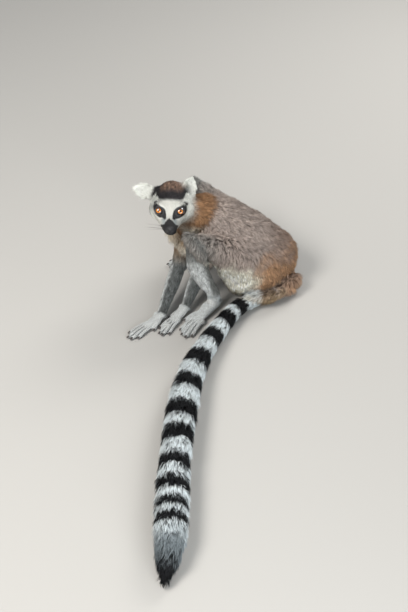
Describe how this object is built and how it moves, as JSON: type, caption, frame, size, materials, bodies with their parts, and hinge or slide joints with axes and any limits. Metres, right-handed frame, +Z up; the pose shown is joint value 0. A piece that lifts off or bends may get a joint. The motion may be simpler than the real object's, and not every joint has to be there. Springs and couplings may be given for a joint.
{
  "type": "ring-tailed lemur",
  "caption": "Life-size still figure of an adult ring-tailed lemur sitting with its hands on the floor, head turned to the side and its long banded tail laid out beside it",
  "frame": {"origin": "on the floor, under the middle of the whole figure's box", "axes": "+Z up, the tail runs towards -Y, the body faces -X and the face looks to -Y"},
  "size_m": [0.294, 0.7298, 0.2153],
  "materials": {
    "back_coat": "soft grey-brown fur",
    "limb_coat": "short speckled grey fur",
    "pale_coat": "very short pale grey fur",
    "white_coat": "white and black fur",
    "banded_coat": "long fur in black and white bands",
    "eye": "glossy amber glass eye"
  },
  "bodies": {
    "root": {"trunk": "back_coat", "neck": "back_coat", "thigh_left": "back_coat", "thigh_right": "back_coat", "head": "white_coat", "ear_left": "white_coat", "ear_right": "white_coat", "eye_left": "eye", "eye_right": "eye", "upper_arm_left": "limb_coat", "upper_arm_right": "limb_coat", "forearm_left": "limb_coat", "forearm_right": "limb_coat", "shin_left": "limb_coat", "shin_right": "limb_coat", "hand_left": "pale_coat", "hand_right": "pale_coat", "foot_left": "pale_coat", "foot_right": "pale_coat", "tail_1": "banded_coat", "tail_2": "banded_coat", "tail_3": "banded_coat", "tail_4": "banded_coat", "tail_5": "banded_coat"}
  },
  "joints": []
}
